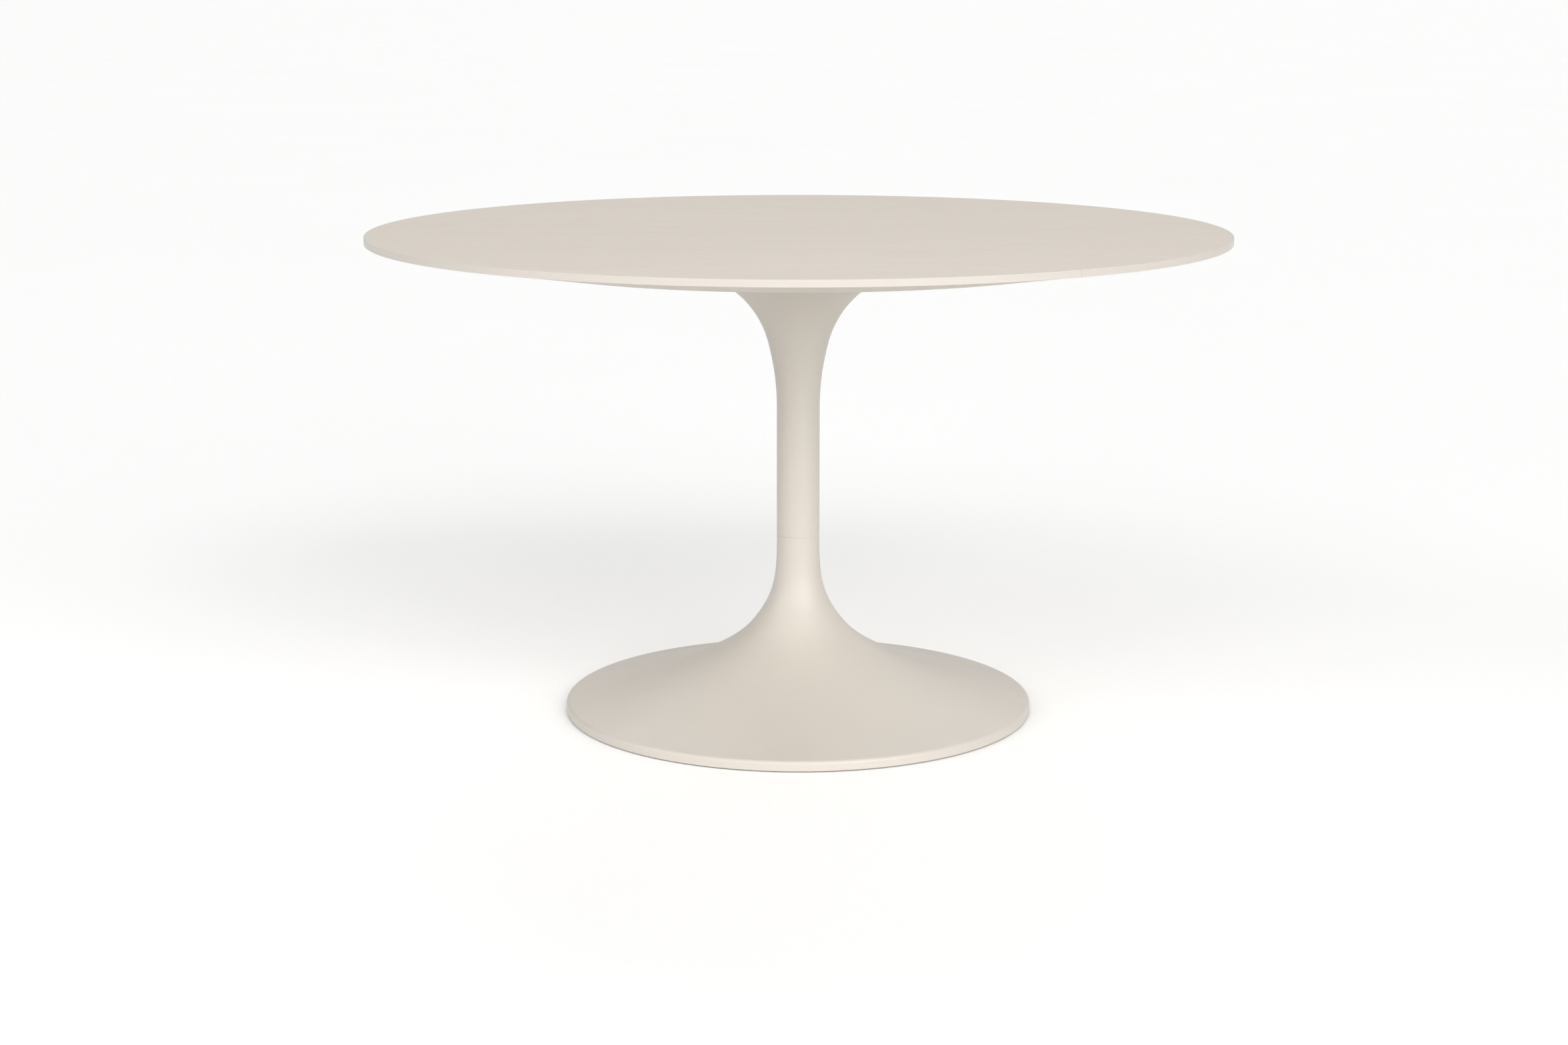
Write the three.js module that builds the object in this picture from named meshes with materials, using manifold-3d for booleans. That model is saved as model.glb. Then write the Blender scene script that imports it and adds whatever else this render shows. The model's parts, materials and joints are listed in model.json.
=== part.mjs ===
// Round dining table on a trumpet-shaped pedestal.
//
// Millimetres, +Z up. The origin is on the floor, under the middle of the table, and -Y is the front.
// The tabletop is a shaped board with a face sheet and a wrapped edge band. It is screwed to a steel
// mounting plate, which sits on the upper trumpet of a hollow column. A long tie rod pulls that plate,
// the column and the base shell together. A steel plate closes the base from below; it carries an iron
// ballast disc and four levelling glides.

import * as THREE from 'three';
import { mergeVertices } from 'three/addons/utils/BufferGeometryUtils.js';
import Module from 'manifold-3d';

// ---- Driving dimensions ---------------------------------------------------------------------------

const TABLE_HEIGHT = 762;
const JOINT_GAP = 0.3; // between pieces that touch
const CUT_OVERRUN = 1; // how far a drilled hole runs past the face that it starts in

// tabletop
const TOP_RADIUS = 666.5;
const FACE_SHEET_THICKNESS = 0.8;
const EDGE_BAND_THICKNESS = 1.0;
const EDGE_BAND_HEIGHT = 10.5;
const EDGE_BAND_JOINT_ANGLE = -55; // degrees from +X, so 35 degrees to the right of the front
const EDGE_BAND_JOINT_WIDTH = 0.3;
const UNDERSIDE_FLAT_RADIUS = 465; // the underside tapers from the edge to this radius
const UNDERSIDE_Z = 720.6;

// column and its upper trumpet
const STEM_RADIUS = 33.7;
const COLUMN_WALL = 4.2;
const STEM_TOP_Z = 485;
const NECK_ARC_RADIUS = 398;
const NECK_ARC_END = 15.2; // degrees away from vertical
const FLARE_ARC_RADIUS = 153.5;
const FLARE_ARC_END = 78;
const FLARE_BORE_END = 70; // where the inner surface turns up into the seat
const COLUMN_RIM_RADIUS = 168;
const COLUMN_RIM_RISE = 1; // from the end of the flare to the lower edge of the rim

// base shell and its lower trumpet
const SEAM_Z = 281; // the column stands on the base shell here
const BASE_RADIUS = 370.4;
const BASE_WALL = 4.5;
const WAIST_CURVE_CONTROLS = [[STEM_RADIUS, 213], [36.4, 184.7]];
const WAIST_POINT = [73.25, 139.2]; // where the two curves of the lower trumpet meet
const DISH_CURVE_CONTROLS = [[117.4, 84.7], [253.2, 36.8]];
const RIM_START_POINT = [365.4, 17.6]; // where the dish turns over into the rim
const RIM_CORNER_Z = 11.7;
const RIM_CORNER_TURN = 80.3; // degrees that the rim corner turns through
const FLOOR_CLEARANCE = 2;
const RIM_LEDGE_INNER_RADIUS = 330;
const RIM_LIP_INNER_RADIUS = 352;
const RIM_LEDGE_SHOULDER = 8; // from the end of the thin wall to the ledge
const RIM_LEDGE_DROP = 2; // of the underside over that shoulder

// web inside the base shell, which the tie rod clamps
const WEB_TOP_Z = 190;
const WEB_BOTTOM_Z = 165;
const WEB_CORNER = 4; // between the web and the wall below it
const SLEEVE_REACH = 45; // above and below the seam
const SLEEVE_WALL = 5;

// plates and ballast
const MOUNTING_PLATE_RADIUS = 166;
const MOUNTING_PLATE_THICKNESS = 6;
const MOUNTING_BOSS_RADIUS = 20;
const MOUNTING_BOSS_LENGTH = 24;
const BASE_PLATE_Z = 6;
const BASE_PLATE_THICKNESS = 4;
const BALLAST_RADIUS = 170;
const BALLAST_THICKNESS = 26;
const BALLAST_CORE_RADIUS = 24;
const BALLAST_CHAMFER = 4;

// tie rod, M16
const ROD_RADIUS = 8;
const ROD_NUT_WIDTH = 24; // across flats
const ROD_NUT_HEIGHT = 13;
const CLAMP_WASHER_RADIUS = 26;
const CLAMP_WASHER_THICKNESS = 6;
const SPRING_WASHER_RADIUS = 13;
const SPRING_WASHER_THICKNESS = 3.5;
const ROD_TAIL = 8; // past the lower nut
const ROD_HOLE_CLEARANCE = 1; // in the web
const ROD_TOP_RECESS = 2; // below the mounting plate's face

// screws: shank radius, head radius, head height, shank length
const MOUNTING_SCREW = { shank: 3, head: 5.25, headHeight: 3.5, length: 21 };
const BALLAST_SCREW = { shank: 4, head: 7, headHeight: 2.6, length: 20 };
const BASE_PLATE_SCREW = { shank: 2.5, head: 4.6, headHeight: 2.4, length: 11.5 };
const SCREW_HOLE_CLEARANCE = 0.5;
const HEAD_CROWN = 0.8; // the crown's radius as a share of the head's
const HEAD_SIDE = 0.5; // the straight side's height as a share of the head's
const MOUNTING_SCREW_COUNT = 8;
const MOUNTING_SCREW_CIRCLE = 130; // radius
const BALLAST_SCREW_COUNT = 4;
const BALLAST_SCREW_CIRCLE = 100;
const BASE_PLATE_SCREW_COUNT = 6;
const BASE_PLATE_SCREW_CIRCLE = 341;
const INSERT_RADIUS = 6;
const INSERT_LENGTH = 18;
const INSERT_END_WALL = 1;

// levelling glides, M8
const GLIDE_COUNT = 4;
const GLIDE_CIRCLE = 300;
const GLIDE_START_ANGLE = 45;
const GLIDE_PAD_RADIUS = 14;
const GLIDE_PAD_THICKNESS = 3.2;
const GLIDE_STUD_RADIUS = 4;
const GLIDE_STUD_TOP_Z = 24;
const GLIDE_SPIGOT_RADIUS = 3;
const GLIDE_SPIGOT_Z = 0.8;
const GLIDE_FLANGE_RADIUS = 7;
const GLIDE_FLANGE_THICKNESS = 2;
const GLIDE_NUT_WIDTH = 16;
const GLIDE_NUT_HEIGHT = 9;

// how finely the round pieces are faceted
const TOP_SIDES = 72;
const COLUMN_SIDES = 32;
const BASE_SIDES = 40;
const HARDWARE_SIDES = 16;
const SCREW_SIDES = 8;
const ARC_STEPS = 4; // a path gives each arc twice as many steps
const CURVE_STEPS = 7;

// ---- Finishes -------------------------------------------------------------------------------------

const finish = (color, roughness, metalness) =>
  new THREE.MeshStandardMaterial({ color, roughness, metalness });

const faceSheet = finish(0xd7cec5, 0.5, 0);
const edgeBand = finish(0xe9e2d8, 0.45, 0);
const board = finish(0xc9c1b6, 0.6, 0);
const paintedMetal = finish(0xdad3c9, 0.5, 0);
const steel = finish(0x9a9c9f, 0.35, 1);
const castIron = finish(0x4a4b4d, 0.7, 0.8);
const brass = finish(0xb08d4a, 0.35, 1);
const padPlastic = finish(0x8f8a83, 0.6, 0);

// ---- Solids ---------------------------------------------------------------------------------------

const wasm = await Module();
wasm.setup();

// A closed outline in (radius, height), turned about the Z axis.
function revolve(outline, sides) {
  const points = outline.map(([radius, height]) => new THREE.Vector2(radius, height));
  const onAxis = points[0].x === 0 && points.at(-1).x === 0;
  if (THREE.ShapeUtils.area(points) < 0) points.reverse();
  if (!onAxis) points.push(points[0].clone());
  return new THREE.LatheGeometry(points, sides).rotateX(Math.PI / 2);
}

// A full circle in the shape gets this many sides.
function prism(shape, height, sides) {
  return new THREE.ExtrudeGeometry(shape, { depth: height, bevelEnabled: false, curveSegments: sides / 2 });
}

function cylinder(radius, height, sides) {
  return new THREE.CylinderGeometry(radius, radius, height, sides)
    .rotateX(Math.PI / 2)
    .translate(0, 0, height / 2);
}

function toSolid(geometry) {
  const bare = geometry.clone();
  bare.deleteAttribute('normal');
  bare.deleteAttribute('uv');
  const merged = mergeVertices(bare, 1e-4);
  const vertProperties = new Float32Array(merged.attributes.position.array);
  const triVerts = new Uint32Array(merged.index.array);
  return new wasm.Manifold(new wasm.Mesh({ numProp: 3, vertProperties, triVerts }));
}

function toGeometry(solid) {
  const { vertProperties, triVerts } = solid.getMesh();
  const geometry = new THREE.BufferGeometry();
  geometry.setAttribute('position', new THREE.BufferAttribute(vertProperties, 3));
  geometry.setIndex(new THREE.BufferAttribute(triVerts, 1));
  geometry.computeVertexNormals();
  return geometry;
}

// Cuts round vertical holes: each is { x, y, z, radius, depth }, with z its lower end.
function drill(geometry, holes, sides = SCREW_SIDES) {
  let solid = toSolid(geometry);
  for (const { x, y, z, radius, depth } of holes) {
    solid = solid.subtract(toSolid(cylinder(radius, depth, sides).translate(x, y, z)));
  }
  return toGeometry(solid);
}

// The places of evenly spaced pieces on a circle.
function aroundCircle(count, radius, startDegrees) {
  return Array.from({ length: count }, (_, i) => {
    const angle = THREE.MathUtils.degToRad(startDegrees + (360 * i) / count);
    return { x: radius * Math.cos(angle), y: radius * Math.sin(angle) };
  });
}

const mountingPlaces = aroundCircle(MOUNTING_SCREW_COUNT, MOUNTING_SCREW_CIRCLE, 22.5);
const ballastPlaces = aroundCircle(BALLAST_SCREW_COUNT, BALLAST_SCREW_CIRCLE, 0);
const basePlatePlaces = aroundCircle(BASE_PLATE_SCREW_COUNT, BASE_PLATE_SCREW_CIRCLE, 0);
const glidePlaces = aroundCircle(GLIDE_COUNT, GLIDE_CIRCLE, GLIDE_START_ANGLE);

const table = new THREE.Group();

function add(name, geometry, material, place = {}) {
  const mesh = new THREE.Mesh(geometry, material);
  mesh.name = name;
  mesh.position.set(place.x ?? 0, place.y ?? 0, place.z ?? 0);
  table.add(mesh);
}

// ---- Tabletop -------------------------------------------------------------------------------------

const boardRadius = TOP_RADIUS - EDGE_BAND_THICKNESS - JOINT_GAP;
const boardTopZ = TABLE_HEIGHT - FACE_SHEET_THICKNESS - JOINT_GAP;
const bandBottomZ = TABLE_HEIGHT - EDGE_BAND_HEIGHT;
const plateTopZ = UNDERSIDE_Z - JOINT_GAP;
const plateBottomZ = plateTopZ - MOUNTING_PLATE_THICKNESS;

function tabletopCore() {
  const blank = revolve([
    [0, UNDERSIDE_Z],
    [UNDERSIDE_FLAT_RADIUS, UNDERSIDE_Z],
    [boardRadius, bandBottomZ],
    [boardRadius, boardTopZ],
    [0, boardTopZ],
  ], TOP_SIDES);
  const holeDepth = INSERT_LENGTH + 2 * JOINT_GAP;
  const holes = mountingPlaces.map((place) => ({
    ...place,
    z: UNDERSIDE_Z - CUT_OVERRUN,
    radius: INSERT_RADIUS + JOINT_GAP,
    depth: holeDepth + CUT_OVERRUN,
  }));
  return drill(blank, holes);
}

function topFaceSheet() {
  return cylinder(boardRadius, FACE_SHEET_THICKNESS, TOP_SIDES);
}

// One strip wrapped round the edge, with its two ends meeting in a butt joint.
function edgeBandStrip() {
  const halfGap = EDGE_BAND_JOINT_WIDTH / 2 / TOP_RADIUS;
  const start = THREE.MathUtils.degToRad(EDGE_BAND_JOINT_ANGLE) + halfGap;
  const end = start + 2 * Math.PI - 2 * halfGap;
  const strip = new THREE.Shape();
  strip.absarc(0, 0, TOP_RADIUS, start, end, false);
  strip.absarc(0, 0, TOP_RADIUS - EDGE_BAND_THICKNESS, end, start, true);
  return prism(strip, EDGE_BAND_HEIGHT, TOP_SIDES);
}

add('tabletop_core', tabletopCore(), board);
add('top_face_sheet', topFaceSheet(), faceSheet, { z: TABLE_HEIGHT - FACE_SHEET_THICKNESS });
add('edge_band', edgeBandStrip(), edgeBand, { z: bandBottomZ });

// ---- Mounting plate and what holds it to the top --------------------------------------------------

function mountingPlate() {
  const bore = ROD_RADIUS + JOINT_GAP;
  const blank = revolve([
    [bore, plateBottomZ - MOUNTING_BOSS_LENGTH],
    [MOUNTING_BOSS_RADIUS, plateBottomZ - MOUNTING_BOSS_LENGTH],
    [MOUNTING_BOSS_RADIUS, plateBottomZ],
    [MOUNTING_PLATE_RADIUS, plateBottomZ],
    [MOUNTING_PLATE_RADIUS, plateTopZ],
    [bore, plateTopZ],
  ], COLUMN_SIDES);
  const holes = mountingPlaces.map((place) => ({
    ...place,
    z: plateBottomZ - CUT_OVERRUN,
    radius: MOUNTING_SCREW.shank + SCREW_HOLE_CLEARANCE,
    depth: MOUNTING_PLATE_THICKNESS + 2 * CUT_OVERRUN,
  }));
  return drill(blank, holes);
}

// A threaded sleeve, closed at its upper end.
function threadedInsert() {
  const bore = MOUNTING_SCREW.shank + JOINT_GAP;
  return revolve([
    [0, INSERT_LENGTH - INSERT_END_WALL],
    [bore, INSERT_LENGTH - INSERT_END_WALL],
    [bore, 0],
    [INSERT_RADIUS, 0],
    [INSERT_RADIUS, INSERT_LENGTH],
    [0, INSERT_LENGTH],
  ], SCREW_SIDES);
}

// A pan head screw whose shank points up from z = 0, with the head below it.
function screw({ shank, head, headHeight, length }) {
  return revolve([
    [0, -headHeight],
    [head * HEAD_CROWN, -headHeight],
    [head, -headHeight * HEAD_SIDE],
    [head, 0],
    [shank, 0],
    [shank, length],
    [0, length],
  ], SCREW_SIDES);
}

add('mounting_plate', mountingPlate(), steel);
mountingPlaces.forEach((place, i) => {
  add(`threaded_insert_${i + 1}`, threadedInsert(), brass, { ...place, z: UNDERSIDE_Z + JOINT_GAP });
  add(`mounting_screw_${i + 1}`, screw(MOUNTING_SCREW), steel, { ...place, z: plateBottomZ - JOINT_GAP });
});

// ---- Column and base shell ------------------------------------------------------------------------

const columnTopZ = plateBottomZ - JOINT_GAP;

// The two arcs of the upper trumpet, as a path from the stem to endDegrees away from vertical.
function upperTrumpet(offset, endDegrees) {
  const neckEnd = THREE.MathUtils.degToRad(NECK_ARC_END);
  const flareEnd = THREE.MathUtils.degToRad(endDegrees);
  const neckCentre = new THREE.Vector2(STEM_RADIUS + NECK_ARC_RADIUS, STEM_TOP_Z);
  const towardsCentre = new THREE.Vector2(-Math.cos(neckEnd), Math.sin(neckEnd));
  const flareCentre = neckCentre.clone()
    .addScaledVector(towardsCentre, NECK_ARC_RADIUS - FLARE_ARC_RADIUS);
  const path = new THREE.Path();
  path.absarc(neckCentre.x, neckCentre.y, NECK_ARC_RADIUS + offset, Math.PI, Math.PI - neckEnd, true);
  path.absarc(flareCentre.x, flareCentre.y, FLARE_ARC_RADIUS + offset, Math.PI - neckEnd,
    Math.PI - flareEnd, true);
  return path.getPoints(ARC_STEPS).map(({ x, y }) => [x, y]);
}

function pedestalColumn() {
  const outer = upperTrumpet(0, FLARE_ARC_END);
  const inner = upperTrumpet(COLUMN_WALL, FLARE_BORE_END);
  const seatInnerRadius = inner.at(-1)[0];
  return revolve([
    [STEM_RADIUS, SEAM_Z + JOINT_GAP],
    ...outer,
    [COLUMN_RIM_RADIUS, outer.at(-1)[1] + COLUMN_RIM_RISE],
    [COLUMN_RIM_RADIUS, columnTopZ],
    [seatInnerRadius, columnTopZ],
    ...inner.toReversed(),
    [STEM_RADIUS - COLUMN_WALL, SEAM_Z + JOINT_GAP],
  ], COLUMN_SIDES);
}

// The lower trumpet: two curves from the seam down to the start of the rim corner.
function lowerTrumpet() {
  const path = new THREE.Path();
  path.moveTo(STEM_RADIUS, SEAM_Z);
  path.bezierCurveTo(...WAIST_CURVE_CONTROLS.flat(), ...WAIST_POINT);
  path.bezierCurveTo(...DISH_CURVE_CONTROLS.flat(), ...RIM_START_POINT);
  return path.getPoints(CURVE_STEPS).map(({ x, y }) => [x, y]);
}

// Moves each inner point of an outline to its lower left by the wall's thickness.
function insetBy(points, wall) {
  return points.slice(1, -1).map(([radius, height], i) => {
    const before = points[i];
    const after = points[i + 2];
    const along = new THREE.Vector2(after[0] - before[0], after[1] - before[1]).normalize();
    return [radius + along.y * wall, height - along.x * wall];
  });
}

function rimCorner() {
  const cornerRadius = BASE_RADIUS - RIM_START_POINT[0];
  const turn = THREE.MathUtils.degToRad(RIM_CORNER_TURN);
  const arcRadius = cornerRadius / (1 - Math.cos(turn));
  const path = new THREE.Path();
  path.absarc(BASE_RADIUS - arcRadius, RIM_CORNER_Z, arcRadius, turn, 0, true);
  return path.getPoints(ARC_STEPS / 2).slice(1).map(({ x, y }) => [x, y]);
}

function baseShell() {
  const outer = lowerTrumpet();
  const underside = insetBy(outer, BASE_WALL)
    .filter(([radius, height]) => height < WEB_BOTTOM_Z - WEB_CORNER
      && radius < RIM_LEDGE_INNER_RADIUS - RIM_LEDGE_SHOULDER);
  const ledgeZ = BASE_PLATE_Z + BASE_PLATE_THICKNESS + JOINT_GAP;
  const rodHole = ROD_RADIUS + ROD_HOLE_CLEARANCE;
  const socketRadius = STEM_RADIUS - COLUMN_WALL;
  const blank = revolve([
    ...outer,
    ...rimCorner(),
    [BASE_RADIUS, FLOOR_CLEARANCE],
    [RIM_LIP_INNER_RADIUS, FLOOR_CLEARANCE],
    [RIM_LIP_INNER_RADIUS, ledgeZ],
    [RIM_LEDGE_INNER_RADIUS, ledgeZ],
    [RIM_LEDGE_INNER_RADIUS, underside.at(-1)[1] - RIM_LEDGE_DROP],
    ...underside.toReversed(),
    [underside[0][0] - WEB_CORNER, WEB_BOTTOM_Z],
    [rodHole, WEB_BOTTOM_Z],
    [rodHole, WEB_TOP_Z],
    [socketRadius, WEB_TOP_Z],
    [socketRadius, SEAM_Z],
  ], BASE_SIDES);
  const holes = basePlatePlaces.map((place) => ({
    ...place,
    z: ledgeZ - CUT_OVERRUN,
    radius: BASE_PLATE_SCREW.shank + JOINT_GAP,
    depth: BASE_PLATE_Z + BASE_PLATE_SCREW.length - ledgeZ + CUT_OVERRUN,
  }));
  return drill(blank, holes);
}

// The collar inside the seam that keeps the column and the base shell in line.
function joiningSleeve() {
  const outer = STEM_RADIUS - COLUMN_WALL - JOINT_GAP;
  return revolve([
    [outer, SEAM_Z - SLEEVE_REACH],
    [outer, SEAM_Z + SLEEVE_REACH],
    [outer - SLEEVE_WALL, SEAM_Z + SLEEVE_REACH],
    [outer - SLEEVE_WALL, SEAM_Z - SLEEVE_REACH],
  ], COLUMN_SIDES);
}

add('pedestal_column', pedestalColumn(), paintedMetal);
add('base_shell', baseShell(), paintedMetal);
add('joining_sleeve', joiningSleeve(), steel);

// ---- Tie rod --------------------------------------------------------------------------------------

function ring(outer, inner, height, sides) {
  return revolve([[inner, 0], [outer, 0], [outer, height], [inner, height]], sides);
}

function hexNut(widthAcrossFlats, bore, height) {
  const blank = cylinder(widthAcrossFlats / Math.sqrt(3), height, 6);
  const hole = { x: 0, y: 0, z: -CUT_OVERRUN, radius: bore, depth: height + 2 * CUT_OVERRUN };
  return drill(blank, [hole], HARDWARE_SIDES);
}

const rodBore = ROD_RADIUS + JOINT_GAP;
const clampWasherZ = WEB_BOTTOM_Z - JOINT_GAP - CLAMP_WASHER_THICKNESS;
const springWasherZ = clampWasherZ - JOINT_GAP - SPRING_WASHER_THICKNESS;
const lowerNutZ = springWasherZ - JOINT_GAP - ROD_NUT_HEIGHT;
const upperNutZ = plateBottomZ - MOUNTING_BOSS_LENGTH - JOINT_GAP - ROD_NUT_HEIGHT;
const rodBottomZ = lowerNutZ - ROD_TAIL;
const rodTopZ = plateTopZ - ROD_TOP_RECESS;

add('tie_rod', cylinder(ROD_RADIUS, rodTopZ - rodBottomZ, HARDWARE_SIDES), steel, { z: rodBottomZ });
add('rod_lock_nut', hexNut(ROD_NUT_WIDTH, rodBore, ROD_NUT_HEIGHT), steel, { z: upperNutZ });
add('clamp_washer', ring(CLAMP_WASHER_RADIUS, rodBore, CLAMP_WASHER_THICKNESS, HARDWARE_SIDES), steel,
  { z: clampWasherZ });
add('spring_washer', ring(SPRING_WASHER_RADIUS, rodBore, SPRING_WASHER_THICKNESS, HARDWARE_SIDES), steel,
  { z: springWasherZ });
add('rod_clamp_nut', hexNut(ROD_NUT_WIDTH, rodBore, ROD_NUT_HEIGHT), steel, { z: lowerNutZ });

// ---- Base plate and ballast -----------------------------------------------------------------------

const ballastZ = BASE_PLATE_Z + BASE_PLATE_THICKNESS + JOINT_GAP;
const belowPlateZ = BASE_PLATE_Z - JOINT_GAP;

function basePlate() {
  const blank = cylinder(RIM_LIP_INNER_RADIUS - JOINT_GAP, BASE_PLATE_THICKNESS, BASE_SIDES);
  const holesOf = (places, radius) => places.map((place) => ({
    ...place,
    z: -CUT_OVERRUN,
    radius,
    depth: BASE_PLATE_THICKNESS + 2 * CUT_OVERRUN,
  }));
  return drill(blank, [
    ...holesOf(ballastPlaces, BALLAST_SCREW.shank + SCREW_HOLE_CLEARANCE),
    ...holesOf(basePlatePlaces, BASE_PLATE_SCREW.shank + SCREW_HOLE_CLEARANCE),
    ...holesOf(glidePlaces, GLIDE_STUD_RADIUS + SCREW_HOLE_CLEARANCE),
  ]);
}

function ballastDisc() {
  const blank = revolve([
    [BALLAST_CORE_RADIUS, 0],
    [BALLAST_RADIUS, 0],
    [BALLAST_RADIUS, BALLAST_THICKNESS - BALLAST_CHAMFER],
    [BALLAST_RADIUS - BALLAST_CHAMFER, BALLAST_THICKNESS],
    [BALLAST_CORE_RADIUS, BALLAST_THICKNESS],
  ], COLUMN_SIDES);
  return drill(blank, ballastPlaces.map((place) => ({
    ...place,
    z: -CUT_OVERRUN,
    radius: BALLAST_SCREW.shank + JOINT_GAP,
    depth: BASE_PLATE_Z + BALLAST_SCREW.length - ballastZ + CUT_OVERRUN,
  })));
}

add('base_plate', basePlate(), steel, { z: BASE_PLATE_Z });
add('ballast_disc', ballastDisc(), castIron, { z: ballastZ });
ballastPlaces.forEach((place, i) => {
  add(`ballast_screw_${i + 1}`, screw(BALLAST_SCREW), steel, { ...place, z: belowPlateZ });
});
basePlatePlaces.forEach((place, i) => {
  add(`base_plate_screw_${i + 1}`, screw(BASE_PLATE_SCREW), steel, { ...place, z: belowPlateZ });
});

// ---- Levelling glides -----------------------------------------------------------------------------

// A stud that turns in its pad on a spigot, and carries the load on a flange.
function glideStud() {
  const flangeZ = GLIDE_PAD_THICKNESS + JOINT_GAP;
  return revolve([
    [0, GLIDE_SPIGOT_Z],
    [GLIDE_SPIGOT_RADIUS, GLIDE_SPIGOT_Z],
    [GLIDE_SPIGOT_RADIUS, flangeZ],
    [GLIDE_FLANGE_RADIUS, flangeZ],
    [GLIDE_FLANGE_RADIUS, flangeZ + GLIDE_FLANGE_THICKNESS],
    [GLIDE_STUD_RADIUS, flangeZ + GLIDE_FLANGE_THICKNESS],
    [GLIDE_STUD_RADIUS, GLIDE_STUD_TOP_Z],
    [0, GLIDE_STUD_TOP_Z],
  ], SCREW_SIDES);
}

glidePlaces.forEach((place, i) => {
  const pad = ring(GLIDE_PAD_RADIUS, GLIDE_SPIGOT_RADIUS + JOINT_GAP, GLIDE_PAD_THICKNESS, HARDWARE_SIDES);
  const nut = hexNut(GLIDE_NUT_WIDTH, GLIDE_STUD_RADIUS + JOINT_GAP, GLIDE_NUT_HEIGHT);
  add(`glide_nut_${i + 1}`, nut, steel, { ...place, z: ballastZ });
  add(`glide_stud_${i + 1}`, glideStud(), steel, place);
  add(`glide_pad_${i + 1}`, pad, padPlastic, place);
});

export default table;
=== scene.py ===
import json
import math

import bmesh
import bpy
from mathutils import Matrix, Vector


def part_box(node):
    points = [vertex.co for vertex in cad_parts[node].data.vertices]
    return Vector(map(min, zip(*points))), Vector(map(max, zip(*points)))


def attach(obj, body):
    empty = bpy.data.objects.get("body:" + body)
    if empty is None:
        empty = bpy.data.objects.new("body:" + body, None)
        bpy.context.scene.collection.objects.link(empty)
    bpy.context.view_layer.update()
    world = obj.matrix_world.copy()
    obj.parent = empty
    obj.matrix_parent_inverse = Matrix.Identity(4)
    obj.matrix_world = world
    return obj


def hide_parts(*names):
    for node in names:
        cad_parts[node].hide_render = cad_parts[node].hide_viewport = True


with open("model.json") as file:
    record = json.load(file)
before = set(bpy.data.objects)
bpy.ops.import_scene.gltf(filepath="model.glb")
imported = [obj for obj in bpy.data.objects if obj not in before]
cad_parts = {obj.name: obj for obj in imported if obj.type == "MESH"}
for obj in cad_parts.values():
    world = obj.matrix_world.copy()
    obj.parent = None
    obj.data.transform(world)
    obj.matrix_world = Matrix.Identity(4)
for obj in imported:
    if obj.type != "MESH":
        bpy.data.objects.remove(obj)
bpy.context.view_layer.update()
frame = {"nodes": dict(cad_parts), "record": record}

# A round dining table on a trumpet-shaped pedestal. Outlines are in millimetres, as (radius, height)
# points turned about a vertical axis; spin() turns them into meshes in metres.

record = frame["record"]
MM = 0.001
FULL_TURN = 2 * math.pi

BODY_OF = {node: body for body, nodes in record["behaviour"]["bodies"].items() for node in nodes}

# ---- Driving dimensions, in millimetres -----------------------------------------------------------
# Bores, holes and shanks are radii. An EDGE or a FILLET is the radius of a rounded corner.

BAND_THICKNESS = 1.0
BAND_JOINT_ANGLE = math.radians(-55)
BAND_JOINT_WIDTH = 0.35
BAND_EDGES = (0.45, 0.6)  # lower and upper
SHEET_EDGE = 0.1
BOARD_EDGE = 0.3
BOARD_RISE = 0.4  # from the band's lower edge to the board's
UNDERSIDE_FLAT_RADIUS = 465
UNDERSIDE_FILLET = 60

STEM_RADIUS = 33.7
COLUMN_WALL = 4.2
STEM_TOP_Z = 485
NECK_ARC_RADIUS = 398
NECK_ARC_END = math.radians(15.2)
FLARE_ARC_RADIUS = 153.5
FLARE_ARC_END = math.radians(78)
FLARE_BORE_END = math.radians(70)

BASE_WALL = 4.5
SEAM_TOP = (STEM_RADIUS, 281)
WAIST_CONTROLS = ((STEM_RADIUS, 213), (36.4, 184.7))
WAIST_POINT = (73.25, 139.2)
DISH_CONTROLS = ((117.4, 84.7), (253.2, 36.8))
RIM_START_POINT = (365.4, 17.6)
RIM_CORNER_Z = 11.7
RIM_CORNER_TURN = math.radians(80.3)
RIM_LEDGE_INNER_RADIUS = 330
RIM_LIP_INNER_RADIUS = 352
CAVITY_RADIUS = 322  # the hollow under the dish ends here, and slopes down to the ledge
CAVITY_END_DROP = 2
WEB_TOP_Z = 190
WEB_BOTTOM_Z = 165
WEB_CORNER = 4  # the sloped corner between the web and the trumpet's wall
ROD_HOLE_RADIUS = 9
SEAM_REACH = 0.25  # the column reaches this far below its CAD box, towards the base
SEAM_EDGE = 0.35  # of both castings where they meet
FLANGE_RISE = 1  # from the end of the flare to the column's rim
FLANGE_EDGE = 0.8
RIM_EDGE = 0.6

MOUNTING_BOSS_RADIUS = 20
MOUNTING_BORE = 8.3
SLEEVE_WALL = 5
SLEEVE_EDGE = 1.2
RIB_FOOT_RADII = (208, 262)  # a ring pressed upwards into the base plate
RIB_SLOPE = 6
RIB_HEIGHT = 2.5
RIB_FILLET = 6
BALLAST_BORE = 24
BALLAST_RECESS_RADII = (60, 116)  # a recess in the top of the ballast
BALLAST_RECESS_DEPTH = 4
BALLAST_DRAFT = (2, 1.5)  # how far its bore and its side lean, from bottom to top
BALLAST_FILLET = 3.0

ROD_THREADED_LENGTH = 70
ROD_NUT_BORE = 8.1
CLAMP_WASHER_BORE = 8.4
SPRING_WASHER_BORE = 8.5
INSERT_BORE = 3.2
PLATE_SCREW_SHANK = 3
BALLAST_SCREW_SHANK = 4
COVER_SCREW_SHANK = 2.5

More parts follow.
